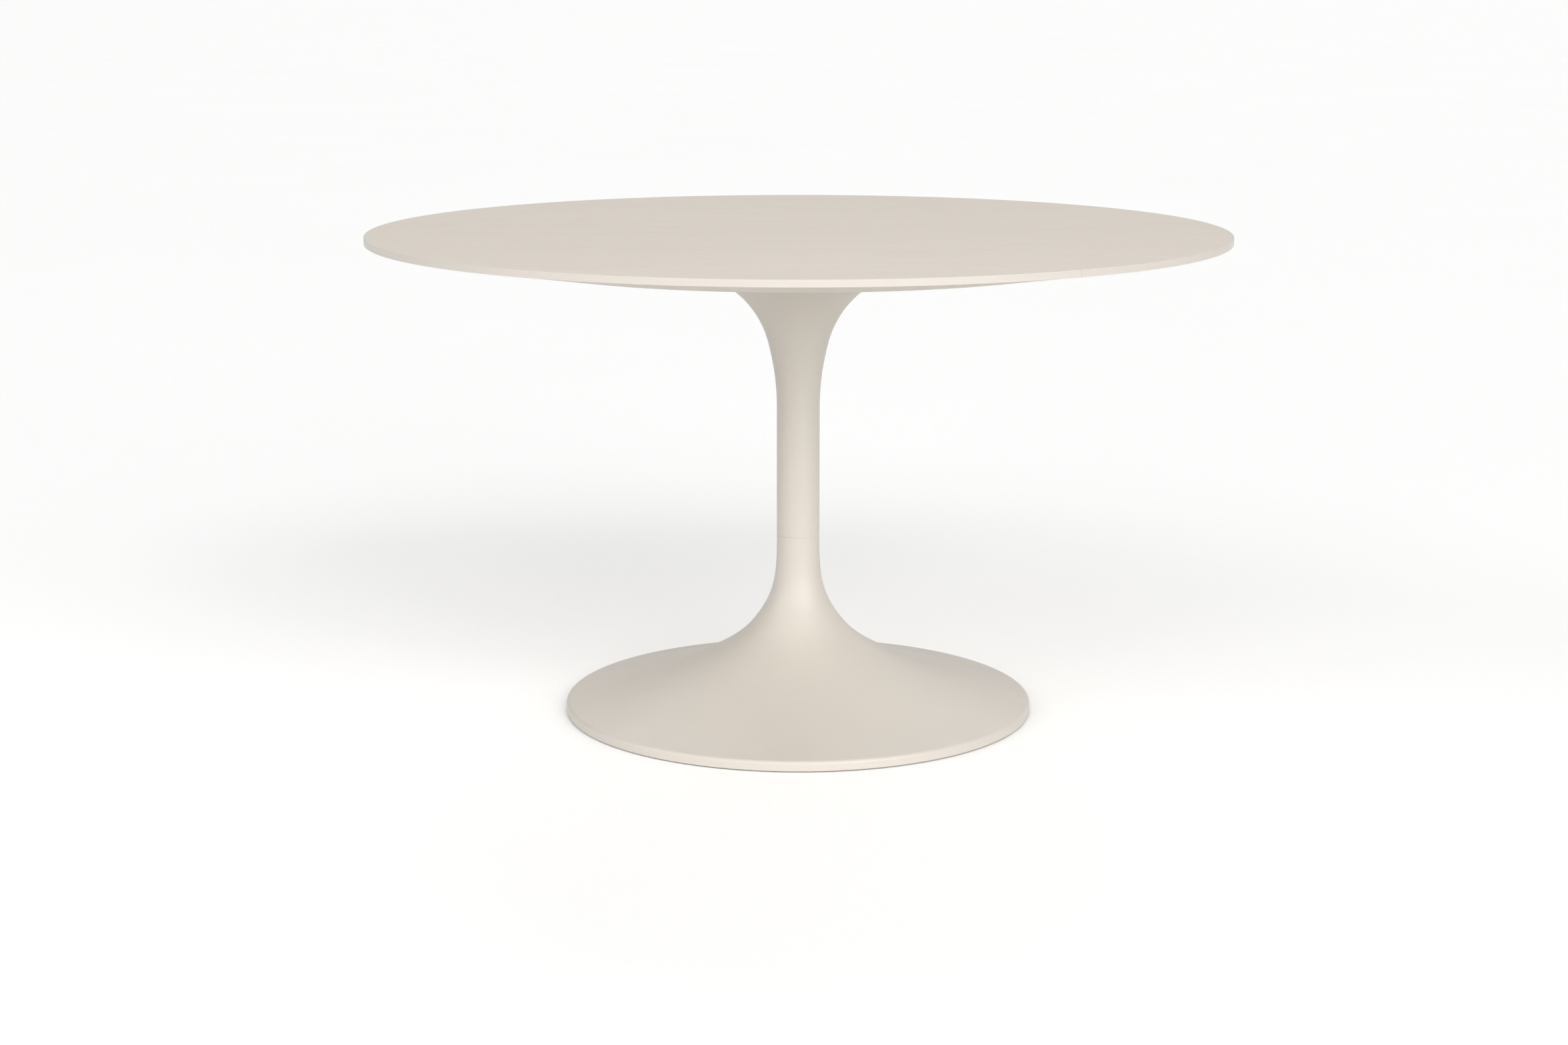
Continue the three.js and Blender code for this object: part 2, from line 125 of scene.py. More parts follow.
STUD_RADIUS = 4
STUD_NECK_RADIUS = 3  # the plain end that turns in the pad
STUD_SOCKET = 3  # across the flats of the key's hole
STUD_FLANGE_Z = (3.5, 5.5)
STUD_THREAD_Z = 6.0
STUD_NUT_BORE = 4.1
PAD_BORE = 3.2
PAD_GROOVE = (4.5, 2.7)  # how far inside the rim the groove under the pad starts and ends
PAD_GROOVE_DEPTH = 0.5
PAD_RECESS_RADIUS = 9.5
PAD_RECESS_DEPTH = 0.6

SEAT = 0.05  # hairline left between a piece and its neighbour
HOLE_GAP = 0.25  # round a screw, stud or insert
DRILL_PAST = 1  # how far a hole's cutter goes past a face
PLATE_EDGE = 0.8  # of plates and washers

# threads: pitch and depth
ROD_THREAD = (2.0, 1.1)
STUD_THREAD = (1.25, 0.7)
SCREW_THREAD = (1.0, 0.55)
INSERT_THREAD = (3.0, 1.1)
TIP_CHAMFER = 0.4  # below the thread's root, at the point of a screw or stud

# sides of turned pieces
TOP_SIDES = 360
BASE_SIDES = 256
COLUMN_SIDES = 128
HARDWARE_SIDES = 48
SCREW_SIDES = 36


def span(node):
    """The lowest and highest corners of a CAD node, in millimetres."""
    low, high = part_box(node)
    return low / MM, high / MM


def middle(node):
    """The (x, y) of a CAD node's own upright axis, in millimetres."""
    low, high = span(node)
    return (low.x + high.x) / 2, (low.y + high.y) / 2


def numbered(stem):
    """The CAD nodes called stem_1, stem_2 and so on."""
    return sorted(node for node in frame["nodes"] if node.rsplit("_", 1)[0] == stem)


def centres(stem):
    """The axes of the CAD nodes called stem_1, stem_2 and so on."""
    return [middle(node) for node in numbered(stem)]


# ---- Meshes ---------------------------------------------------------------------------------------

SHARP_ANGLE = math.radians(32)  # an edge that turns more than this is shaded sharp
MERGE_DISTANCE = 1e-7  # metres, as for the next
SHORTEST_EDGE = 1e-8


def bezier(start, control_a, control_b, end, steps):
    """The points of a cubic curve."""
    p = [Vector(q) for q in (start, control_a, control_b, end)]
    points = []
    for i in range(steps + 1):
        t = i / steps
        s = 1 - t
        points.append(tuple(p[0] * s**3 + p[1] * 3 * s * s * t + p[2] * 3 * s * t * t + p[3] * t**3))
    return points


def arc(centre, radius, start, end, steps):
    """The points of an arc, between two angles."""
    angles = [start + (end - start) * i / steps for i in range(steps + 1)]
    return [(centre[0] + radius * math.cos(a), centre[1] + radius * math.sin(a)) for a in angles]


def filleted(outline, steps=5):
    """Rounds each (radius, height, fillet) corner of a closed outline; a corner with no fillet stays."""
    points = []
    for i, corner in enumerate(outline):
        here = Vector(corner[:2])
        if len(corner) < 3:
            points.append(tuple(here))
            continue
        size = corner[2]
        to_last = (Vector(outline[i - 1][:2]) - here).normalized()
        to_next = (Vector(outline[(i + 1) % len(outline)][:2]) - here).normalized()
        half = to_last.angle(to_next) / 2
        centre = here + (to_last + to_next).normalized() * size / math.sin(half)
        first = here + to_last * size / math.tan(half) - centre
        last = here + to_next * size / math.tan(half) - centre
        start = math.atan2(first.y, first.x)
        turn = math.remainder(math.atan2(last.y, last.x) - start, FULL_TURN)
        points += arc(centre, size, start, start + turn, steps)
    return points


def ring_points(mesh, ring, angles, centre):
    """The points of one ring, one for each angle; a ring of radius 0 is one point, repeated."""
    place = ring if callable(ring) else (lambda angle: ring)
    if place(angles[0])[0] == 0:
        apex = mesh.verts.new((centre[0] * MM, centre[1] * MM, place(angles[0])[1] * MM))
        return [apex] * len(angles)
    points = []
    for angle in angles:
        radius, height = place(angle)
        x = centre[0] + radius * math.cos(angle)
        y = centre[1] + radius * math.sin(angle)
        points.append(mesh.verts.new((x * MM, y * MM, height * MM)))
    return points


def spin(name, rings, sides, centre=(0, 0), start=0.0, sweep=FULL_TURN):
    """Turns a closed outline about an upright axis.

    Each ring is a (radius, height) point, or a function of the angle that gives one. A ring with a climb
    meets the ring that many places on after a full turn, as a thread does. A sweep of less than a full
    turn is closed by flat ends.
    """
    mesh = bmesh.new()
    is_full = math.isclose(sweep, FULL_TURN)
    angles = [start + sweep * i / sides for i in range(sides if is_full else sides + 1)]
    circles = [ring_points(mesh, ring, angles, centre) for ring in rings]
    after_a_turn = [circles[i + getattr(ring, "climb", 0)] for i, ring in enumerate(rings)]
    pairs = [(i, i + 1) for i in range(len(circles) - 1)]
    starts_on_axis = circles[0][0] is circles[0][-1]
    if not starts_on_axis:
        pairs.append((len(circles) - 1, 0))
    for lower, upper in pairs:
        strips = [(circles[lower][i:i + 2], circles[upper][i:i + 2]) for i in range(len(angles) - 1)]
        if is_full:
            strips.append(([circles[lower][-1], after_a_turn[lower][0]],
                           [circles[upper][-1], after_a_turn[upper][0]]))
        for below, above in strips:
            corners = list(dict.fromkeys((*below, *reversed(above))))
            if len(corners) > 2:
                mesh.faces.new(corners)
    if not is_full:
        mesh.faces.new([circle[0] for circle in circles])
        mesh.faces.new([circle[-1] for circle in circles])
    return finished(name, mesh)


def finished(name, mesh):
    """A smooth-shaded object whose faces point out, with its sharp edges kept."""
    bmesh.ops.remove_doubles(mesh, verts=mesh.verts, dist=MERGE_DISTANCE)
    bmesh.ops.dissolve_degenerate(mesh, edges=mesh.edges, dist=SHORTEST_EDGE)
    bmesh.ops.recalc_face_normals(mesh, faces=mesh.faces)
    data = bpy.data.meshes.new(name)
    mesh.to_mesh(data)
    mesh.free()
    piece = bpy.data.objects.new(name, data)
    bpy.context.scene.collection.objects.link(piece)
    smooth(piece)
    return piece


def smooth(piece):
    """Shades a piece smooth, with flat faces kept flat and sharp edges kept sharp."""
    for polygon in piece.data.polygons:
        polygon.use_smooth = True
    piece.data.set_sharp_from_angle(angle=SHARP_ANGLE)
    flat_faces = piece.modifiers.new("flat_faces", "WEIGHTED_NORMAL")
    flat_faces.keep_sharp = True


DRILL_SIDES = 32
DRILL_TURN = math.radians(2)  # keeps the drill's corners off the piece's own edges


def drill(piece, radius, low, high, places):
    """Cuts the same upright hole into a piece at each (x, y) place, from one height to another."""
    bits = bmesh.new()
    turn = Matrix.Rotation(DRILL_TURN, 4, "Z")
    for x, y in places:
        place = Matrix.Translation(Vector((x, y, (low + high) / 2)) * MM) @ turn
        bmesh.ops.create_cone(bits, cap_ends=True, segments=DRILL_SIDES, radius1=radius * MM,
                              radius2=radius * MM, depth=(high - low) * MM, matrix=place)
    tool = finished("drill", bits)
    piece.modifiers.clear()
    cut = piece.modifiers.new("holes", "BOOLEAN")
    cut.operation = "DIFFERENCE"
    cut.solver = "EXACT"
    cut.object = tool
    shape = piece.evaluated_get(bpy.context.evaluated_depsgraph_get())
    whole = piece.data
    piece.data = bpy.data.meshes.new_from_object(shape)
    piece.modifiers.clear()
    bpy.data.objects.remove(tool)
    bpy.data.meshes.remove(whole)
    smooth(piece)


THREAD_PROFILE = (0.0, 0.15, 1.0, 0.85)  # share of the depth that is cut, from crest to crest


def thread(radius, low, high, pitch, depth):
    """The rings of a helical thread, from low to high, between ends cut to its full depth."""
    rings = []
    per_turn = len(THREAD_PROFILE)
    last = int((high - low) / pitch * per_turn) + 2
    for k in range(-per_turn, last + 1):
        cut = depth * THREAD_PROFILE[k % per_turn]

        def ring(angle, k=k, cut=cut):
            height = low + (k / per_turn + angle / FULL_TURN) * pitch
            inside = low < height < high
            return radius - (cut if inside else depth), min(max(height, low), high)
        ring.climb = min(per_turn, last - k)
        rings.append(ring)
    return rings


def side_distance(width_across_flats, angle):
    """How far a hexagon's side is from its centre, at an angle."""
    return width_across_flats / 2 / math.cos((angle % (math.pi / 3)) - math.pi / 6)


def hexagon(width_across_flats, height):
    """A ring with six flat sides."""
    return lambda angle: (side_distance(width_across_flats, angle), height)


CHAMFER_SLOPE = math.tan(math.radians(30))
CHAMFER_START = 0.97  # share of a nut's half width, as for the next
LAND_END = 0.95  # where the flat ring that a nut seats on ends


def chamfered_hexagon(width_across_flats, height, inwards):
    """The curved edge where a cone-shaped chamfer meets the six flats of a nut."""
    def ring(angle):
        radius = side_distance(width_across_flats, angle)
        past_start = radius - width_across_flats / 2 * CHAMFER_START
        return radius, height + inwards * past_start * CHAMFER_SLOPE
    return ring


def dress(piece, node, material):
    """Gives a piece its material, and lets it stand for a CAD node on that node's own body."""
    piece.data.materials.clear()
    piece.data.materials.append(material)
    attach(piece, BODY_OF[node])
    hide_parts(node)


# ---- Materials ------------------------------------------------------------------------------------

class Look:
    """A Principled material, built node by node."""

    def __init__(self, name, roughness, metallic=0.0, specular=0.5):
        self.material = bpy.data.materials.new(name)
        self.material.use_nodes = True
        self.nodes = self.material.node_tree.nodes
        self.links = self.material.node_tree.links
        self.shader = self.nodes["Principled BSDF"]
        self.shader.inputs["Roughness"].default_value = roughness
        self.shader.inputs["Metallic"].default_value = metallic
        self.shader.inputs["Specular IOR Level"].default_value = specular
        self.coordinates = self.nodes.new("ShaderNodeTexCoord").outputs["Object"]

    def stretched(self, scale):
        mapping = self.nodes.new("ShaderNodeMapping")
        mapping.inputs["Scale"].default_value = scale
        self.links.new(self.coordinates, mapping.inputs["Vector"])
        return mapping.outputs["Vector"]

    def noise(self, scale, detail=3.0, roughness=0.5, stretch=(1, 1, 1), distortion=0.0):
        texture = self.nodes.new("ShaderNodeTexNoise")
        texture.inputs["Scale"].default_value = scale
        texture.inputs["Detail"].default_value = detail
        texture.inputs["Roughness"].default_value = roughness
        texture.inputs["Distortion"].default_value = distortion
        self.links.new(self.stretched(stretch), texture.inputs["Vector"])
        return texture.outputs["Fac"]

    def between(self, factor, low, high, start=0.3, end=0.7):
        """Turns a 0 to 1 pattern into values from low to high."""
        remap = self.nodes.new("ShaderNodeMapRange")
        remap.inputs["From Min"].default_value = start
        remap.inputs["From Max"].default_value = end
        remap.inputs["To Min"].default_value = low
        remap.inputs["To Max"].default_value = high
        self.links.new(factor, remap.inputs["Value"])
        return remap.outputs["Result"]

    def product(self, first, second):
        multiply = self.nodes.new("ShaderNodeMath")
        multiply.operation = "MULTIPLY"
        self.links.new(first, multiply.inputs[0])
        self.links.new(second, multiply.inputs[1])
        return multiply.outputs["Value"]

    def shade(self, colour, value):
        """The base colour, made lighter or darker by a value around 1."""
        tint = self.nodes.new("ShaderNodeVectorMath")
        tint.operation = "SCALE"
        tint.inputs[0].default_value = colour
        self.links.new(value, tint.inputs["Scale"])
        self.links.new(tint.outputs["Vector"], self.shader.inputs["Base Color"])

    def rough(self, value):
        self.links.new(value, self.shader.inputs["Roughness"])

    def bump(self, height, depth, after=None):
        """Raises the surface by up to depth, in millimetres."""
        bump = self.nodes.new("ShaderNodeBump")
        bump.inputs["Distance"].default_value = depth * MM
        self.links.new(height, bump.inputs["Height"])
        if after:
            self.links.new(after, bump.inputs["Normal"])
        self.links.new(bump.outputs["Normal"], self.shader.inputs["Normal"])
        return bump.outputs["Normal"]


def powder_coat(name, colour):
    """A satin paint with a fine orange peel."""
    look = Look(name, 0.44)
    tone = look.between(look.noise(3.0, detail=2.0), 0.985, 1.015)
    speck = look.between(look.noise(900.0, detail=1.0), 0.985, 1.015)
    look.shade(colour, look.product(tone, speck))
    look.rough(look.between(look.noise(14.0), 0.4, 0.48))
    peel = look.bump(look.noise(420.0, detail=2.0), 0.03)
    look.bump(look.noise(1600.0, detail=1.0), 0.012, after=peel)
    return look.material


def face_sheet_look(colour):
    """A matte face with a faint straight grain along X."""
    look = Look("face_sheet", 0.62, specular=0.25)
    broad = look.between(look.noise(1.0, detail=3.0, stretch=(1.6, 7.0, 1.0), distortion=0.6), 0.988, 1.012)
    streaks = look.noise(1.0, detail=5.0, roughness=0.6, stretch=(11.0, 170.0, 1.0), distortion=0.4)
    fine = look.between(streaks, 0.966, 1.034)
    pores = look.between(look.noise(1.0, detail=2.0, stretch=(70.0, 1100.0, 1.0)), 0.97, 1.015)
    look.shade(colour, look.product(look.product(broad, fine), pores))
    look.rough(look.between(look.noise(1.0, detail=4.0, stretch=(9.0, 120.0, 1.0)), 0.57, 0.67))
    look.bump(look.noise(1.0, detail=4.0, stretch=(40.0, 900.0, 1.0)), 0.02)
    return look.material


def edge_band_look(colour):
    """A satin strip with very faint lines along it."""
    look = Look("edge_band", 0.42, specular=0.45)
    look.shade(colour, look.between(look.noise(1.0, stretch=(5.0, 5.0, 300.0)), 0.985, 1.015))
    look.rough(look.between(look.noise(30.0), 0.38, 0.46))
    look.bump(look.noise(1.0, stretch=(60.0, 60.0, 1500.0)), 0.01)
    return look.material


def board_look(colour):
    """Sprayed board: a smooth matte coat with a slight fibre texture."""
    look = Look("board_paint", 0.6, specular=0.35)
    look.shade(colour, look.between(look.noise(6.0, detail=4.0), 0.99, 1.01))
    look.rough(look.between(look.noise(40.0), 0.55, 0.66))
    look.bump(look.noise(700.0, detail=4.0), 0.03)
    return look.material


def machined_look(name, colour, roughness):
    """Bright metal with fine tool marks round its axis."""
    look = Look(name, roughness, metallic=1.0)
    look.shade(colour, look.between(look.noise(55.0, detail=5.0), 0.9, 1.06))
    look.rough(look.between(look.noise(90.0), roughness - 0.07, roughness + 0.09))
    look.bump(look.noise(1.0, stretch=(40.0, 40.0, 1800.0)), 0.02)
    return look.material


def cast_iron_look(colour):
    """Dark iron with a grainy skin."""
    look = Look("cast_iron", 0.72, metallic=0.6)
    look.shade(colour, look.between(look.noise(60.0, detail=6.0), 0.7, 1.4))
    look.rough(look.between(look.noise(120.0), 0.6, 0.85))
    coarse = look.bump(look.noise(260.0, detail=5.0), 0.5)
    look.bump(look.noise(900.0), 0.15, after=coarse)
    return look.material


def nylon_look(colour):
    """Dull moulded plastic."""
    look = Look("glide_nylon", 0.55)
    look.shade(colour, look.between(look.noise(90.0, detail=4.0), 0.92, 1.08))
    look.rough(look.between(look.noise(150.0), 0.48, 0.62))
    look.bump(look.noise(1200.0, detail=3.0), 0.03)
    return look.material


PAINT = powder_coat("pedestal_paint", (0.512, 0.474, 0.423))
FACE = face_sheet_look((0.563, 0.511, 0.447))
BAND = edge_band_look((0.492, 0.455, 0.411))
BOARD = board_look((0.561, 0.517, 0.468))
STEEL = machined_look("zinc_steel", (0.62, 0.62, 0.63), 0.34)
BRASS = machined_look("turned_brass", (0.72, 0.53, 0.26), 0.3)
IRON = cast_iron_look((0.075, 0.075, 0.08))
NYLON = nylon_look((0.3, 0.28, 0.26))

# ---- Tabletop -------------------------------------------------------------------------------------

def tabletop():
    band_low, band_high = span("edge_band")
    sheet_low, sheet_high = span("top_face_sheet")
    core_low = span("tabletop_core")[0]
    radius = band_high.x
    inner = radius - BAND_THICKNESS

    strip = filleted([
        (inner, band_low.z),
        (radius, band_low.z, BAND_EDGES[0]),
        (radius, band_high.z, BAND_EDGES[1]),
        (inner, band_high.z),
    ])
    joint = BAND_JOINT_WIDTH / radius
    band = spin("edge_band_strip", strip, TOP_SIDES, start=BAND_JOINT_ANGLE + joint / 2,
                sweep=FULL_TURN - joint)
    dress(band, "edge_band", BAND)

    rim = inner - SEAT
    inner_rings = [rim - 1, rim * 0.9, rim * 0.6, rim * 0.3]  # so that no face of the mesh is very long
    sheet = filleted([
        (0, sheet_low.z - SEAT),
        (rim, sheet_low.z - SEAT),
        (rim, sheet_high.z, SHEET_EDGE),
        *((ring, sheet_high.z) for ring in inner_rings),
        (0, sheet_high.z),
    ])
    dress(spin("grained_face_sheet", sheet, TOP_SIDES), "top_face_sheet", FACE)

    top_z = sheet_low.z - 2 * SEAT
    board = filleted([
        (0, core_low.z),
        (UNDERSIDE_FLAT_RADIUS, core_low.z, UNDERSIDE_FILLET),
        (rim, band_low.z + BOARD_RISE, BOARD_EDGE),
        (rim, top_z),
        (0, top_z),
    ], steps=8)
    blank = spin("shaped_board", board, TOP_SIDES)
    insert_low, insert_high = span("threaded_insert_1")
    hole = (insert_high.x - insert_low.x) / 2 + HOLE_GAP
    drill(blank, hole, core_low.z - DRILL_PAST, insert_high.z + HOLE_GAP, centres("threaded_insert"))
    dress(blank, "tabletop_core", BOARD)


# ---- Pedestal -------------------------------------------------------------------------------------

def upper_trumpet(offset, end):
    """The neck and flare arcs, from the stem out to an angle from upright."""
    neck = (STEM_RADIUS + NECK_ARC_RADIUS, STEM_TOP_Z)
    reach = NECK_ARC_RADIUS - FLARE_ARC_RADIUS
    flare = (neck[0] - reach * math.cos(NECK_ARC_END), neck[1] + reach * math.sin(NECK_ARC_END))
    first = arc(neck, NECK_ARC_RADIUS + offset, math.pi, math.pi - NECK_ARC_END, steps=24)
    second = arc(flare, FLARE_ARC_RADIUS + offset, math.pi - NECK_ARC_END, math.pi - end, steps=48)
    return first + second[1:]


def column():
    low, high = span("pedestal_column")
    outer = upper_trumpet(0, FLARE_ARC_END)
    inner = upper_trumpet(COLUMN_WALL, FLARE_BORE_END)
    seam = low.z - SEAM_REACH
    flange_low = outer[-1][1] + FLANGE_RISE
    outline = [
        *filleted([(STEM_RADIUS - COLUMN_WALL, seam), (STEM_RADIUS, seam, SEAM_EDGE), outer[0]])[:-1],
        *outer,
        *filleted([outer[-1], (high.x, flange_low, FLANGE_EDGE), (high.x, high.z, FLANGE_EDGE),
                   (inner[-1][0], high.z)])[1:],
        *reversed(inner),
    ]
    dress(spin("column_casting", outline, COLUMN_SIDES), "pedestal_column", PAINT)


def inset_by(points, wall):
    """An outline moved to its lower left by the wall's thickness, without its two end points."""
    inset = []
    for before, here, after in zip(points, points[1:], points[2:]):
        along = (Vector(after) - Vector(before)).normalized()
        inset.append((here[0] + along.y * wall, here[1] - along.x * wall))
    return inset


def base():
    low, high = span("base_shell")
    ledge = span("base_plate")[1].z + SEAT
    outer = bezier(SEAM_TOP, *WAIST_CONTROLS, WAIST_POINT, steps=36)
    outer += bezier(WAIST_POINT, *DISH_CONTROLS, RIM_START_POINT, steps=48)[1:]
    corner_radius = (high.x - RIM_START_POINT[0]) / (1 - math.cos(RIM_CORNER_TURN))
    corner = arc((high.x - corner_radius, RIM_CORNER_Z), corner_radius, RIM_CORNER_TURN, 0, steps=12)[1:]
    inner = [(radius, height) for radius, height in inset_by(outer, BASE_WALL)
             if height < WEB_BOTTOM_Z - WEB_CORNER and radius < CAVITY_RADIUS]
    socket = STEM_RADIUS - COLUMN_WALL
    outline = [
        *filleted([(socket, high.z), (STEM_RADIUS, high.z, SEAM_EDGE), outer[1]])[1:-1],
        *outer[1:],
        *corner,
        *filleted([corner[-1], (high.x, low.z, RIM_EDGE), (RIM_LIP_INNER_RADIUS, low.z, RIM_EDGE),
                   (RIM_LIP_INNER_RADIUS, ledge)])[1:],
        (RIM_LEDGE_INNER_RADIUS, ledge),
        (RIM_LEDGE_INNER_RADIUS, inner[-1][1] - CAVITY_END_DROP),
        *reversed(inner),
        (inner[0][0] - WEB_CORNER, WEB_BOTTOM_Z),
        (ROD_HOLE_RADIUS, WEB_BOTTOM_Z),
        (ROD_HOLE_RADIUS, WEB_TOP_Z),
        (socket, WEB_TOP_Z),
        (socket, high.z),
    ]
    casting = spin("base_casting", outline, BASE_SIDES)
    hole = COVER_SCREW_SHANK + HOLE_GAP
    hole_end = span("base_plate_screw_1")[1].z + HOLE_GAP
    drill(casting, hole, ledge - DRILL_PAST, hole_end, centres("base_plate_screw"))
    dress(casting, "base_shell", PAINT)


# ---- Plates, ballast and sleeve -------------------------------------------------------------------

def mounting_plate():
    low, high = span("mounting_plate")
    plate_low = span("pedestal_column")[1].z + SEAT
    outline = filleted([
        (MOUNTING_BORE, low.z),
        (MOUNTING_BOSS_RADIUS, low.z, 1.0),
        (MOUNTING_BOSS_RADIUS, plate_low, 3.0),
        (high.x, plate_low, PLATE_EDGE),
        (high.x, high.z, PLATE_EDGE),
        (MOUNTING_BORE, high.z),
    ])
    plate = spin("steel_mounting_plate", outline, COLUMN_SIDES)
    hole = PLATE_SCREW_SHANK + HOLE_GAP
    drill(plate, hole, plate_low - DRILL_PAST, high.z + DRILL_PAST, centres("mounting_screw"))
    dress(plate, "mounting_plate", STEEL)


def sleeve():
    low, high = span("joining_sleeve")
    outline = filleted([
        (high.x - SLEEVE_WALL, low.z),
        (high.x, low.z, SLEEVE_EDGE),
        (high.x, high.z, SLEEVE_EDGE),
        (high.x - SLEEVE_WALL, high.z),
    ])
    dress(spin("locating_sleeve", outline, COLUMN_SIDES), "joining_sleeve", STEEL)


def ribbed_face(height):
    """One face of the base plate, from its centre to the outer foot of the pressed ring."""
    inner, outer = RIB_FOOT_RADII
    return [
        (0, height),
        (inner, height, RIB_FILLET),
        (inner + RIB_SLOPE, height + RIB_HEIGHT, RIB_FILLET),
        (outer - RIB_SLOPE, height + RIB_HEIGHT, RIB_FILLET),
        (outer, height, RIB_FILLET),
    ]


def base_plate():
    low, high = span("base_plate")
    outline = filleted([
        (high.x, low.z, PLATE_EDGE),
        (high.x, high.z, PLATE_EDGE),
        *reversed(ribbed_face(high.z)),
        *ribbed_face(low.z),
    ])
    plate = spin("pressed_base_plate", outline, BASE_SIDES)
    for radius, stem in (
        (COVER_SCREW_SHANK, "base_plate_screw"),
        (BALLAST_SCREW_SHANK, "ballast_screw"),
        (STUD_RADIUS, "glide_stud"),
    ):
        drill(plate, radius + HOLE_GAP, low.z - DRILL_PAST, high.z + DRILL_PAST, centres(stem))
    dress(plate, "base_plate", STEEL)


def ballast():
    low, high = span("ballast_disc")
    inner, outer = BALLAST_RECESS_RADII
    recess_z = high.z - BALLAST_RECESS_DEPTH
    bore_draft, side_draft = BALLAST_DRAFT
    outline = filleted([
        (BALLAST_BORE, low.z, 1.5),
        (high.x, low.z, 2.0),
        (high.x - side_draft, high.z, 5.0),
        (outer + BALLAST_RECESS_DEPTH, high.z, BALLAST_FILLET),
        (outer, recess_z, BALLAST_FILLET),
        (inner, recess_z, BALLAST_FILLET),
        (inner - BALLAST_RECESS_DEPTH, high.z, BALLAST_FILLET),
        (BALLAST_BORE + bore_draft, high.z, BALLAST_FILLET),
    ])
    casting = spin("cast_ballast", outline, COLUMN_SIDES)
    hole = BALLAST_SCREW_SHANK + HOLE_GAP
    hole_end = span("ballast_screw_1")[1].z + DRILL_PAST
    drill(casting, hole, low.z - DRILL_PAST, hole_end, centres("ballast_screw"))
    dress(casting, "ballast_disc", IRON)


# ---- Tie rod, washers and nuts --------------------------------------------------------------------

def tie_rod():
    low, high = span("tie_rod")
    radius = high.x
    pitch, depth = ROD_THREAD
    tip = radius - depth - 0.6
    tip_length = 0.8
    thread_ends = low.z + ROD_THREADED_LENGTH, high.z - ROD_THREADED_LENGTH
    run_out = 1.5
    rings = [
        (0, low.z),
        (tip, low.z),
        *thread(radius, low.z + tip_length, thread_ends[0], pitch, depth),
        (radius, thread_ends[0] + run_out),
        (radius, thread_ends[1] - run_out),
        *thread(radius, thread_ends[1], high.z - tip_length, pitch, depth),
        (tip, high.z),
        (0, high.z),
    ]
    dress(spin("threaded_tie_rod", rings, HARDWARE_SIDES), "tie_rod", STEEL)


def clamp_washer():
    low, high = span("clamp_washer")
    outline = filleted([
        (CLAMP_WASHER_BORE, low.z, 0.4),
        (high.x, low.z, PLATE_EDGE),
        (high.x, high.z, PLATE_EDGE),
        (CLAMP_WASHER_BORE, high.z, 0.4),
    ])
    dress(spin("flat_clamp_washer", outline, HARDWARE_SIDES), "clamp_washer", STEEL)


def split_washer():
    """A spring washer: one turn of square wire with its ends a little apart in height."""
    low, high = span("spring_washer")
    rise = 0.7
    gap = math.radians(6)
    edge = 0.3

    def corner(radius, height):
        return lambda angle: (radius, height + rise * angle / FULL_TURN)
    wire = filleted([
        (SPRING_WASHER_BORE, low.z, edge),
        (high.x, low.z, edge),
        (high.x, high.z - rise, edge),
        (SPRING_WASHER_BORE, high.z - rise, edge),
    ], steps=3)
    rings = [corner(*point) for point in wire]
    piece = spin("split_spring_washer", rings, HARDWARE_SIDES, start=gap / 2, sweep=FULL_TURN - gap)
    dress(piece, "spring_washer", STEEL)


def nut(node, name, bore):
    low, high = span(node)
    width = min(high.x - low.x, high.y - low.y)
    land = width / 2 * LAND_END
    chamfer = 0.6
    rings = [
        (bore + chamfer, low.z),
        (land, low.z),
        chamfered_hexagon(width, low.z, 1),
        chamfered_hexagon(width, high.z, -1),
        (land, high.z),
        (bore + chamfer, high.z),
        (bore, high.z - chamfer),
        (bore, low.z + chamfer),
    ]
    dress(spin(name, rings, HARDWARE_SIDES, centre=middle(node)), node, STEEL)


def rod_nuts():
    for node in ("rod_lock_nut", "rod_clamp_nut"):
        nut(node, f"hex_{node}", ROD_NUT_BORE)


# ---- Screws and inserts ---------------------------------------------------------------------------

def screw(node, name, shank, head_height, socket):
    """A pan head screw, driven from below by a hexagon key, with its thread up to the point."""
    low, high = span(node)
    head = (high.x - low.x) / 2
    widest_z = low.z + head_height * 0.55
    socket_end_z = low.z + head_height * 0.55
    socket_point_z = low.z + head_height * 0.62
    seat_z = low.z + head_height
    thread_low_z = seat_z + 1.5
    thread_high_z = high.z - 1.0
    pitch, depth = SCREW_THREAD
    crown = filleted([
        (head * 0.5, low.z),
        (head * 0.85, low.z, 0.5),
        (head, widest_z, 0.6),
        (head, seat_z, 0.15),
        (shank, seat_z),
    ])
    rings = [
        (0, socket_point_z),
        hexagon(socket, socket_end_z),
        hexagon(socket, low.z + 0.15),
        (socket / 2 * 1.25, low.z),
        *crown[1:],
        (shank, seat_z + 1.0),
        *thread(shank, thread_low_z, thread_high_z, pitch, depth),
        (shank - depth - TIP_CHAMFER, high.z),
        (0, high.z),
    ]
    dress(spin(name, rings, SCREW_SIDES, centre=middle(node)), node, STEEL)


def threaded_insert(node, name):
    """A brass bush, open below, with a coarse wood thread outside."""
    low, high = span(node)
    radius = (high.x - low.x) / 2
    end_wall = 1.0
    collar = 1.0
    run_out = 0.2
    pitch, depth = INSERT_THREAD
    rings = [
        (0, high.z - end_wall),
        (INSERT_BORE, high.z - end_wall),
        (INSERT_BORE, low.z),
        (radius, low.z),
        (radius, low.z + collar),
        *thread(radius, low.z + collar + run_out, high.z - end_wall - run_out, pitch, depth),
        (radius - depth - 0.6, high.z),
        (0, high.z),
    ]
    dress(spin(name, rings, SCREW_SIDES, centre=middle(node)), node, BRASS)


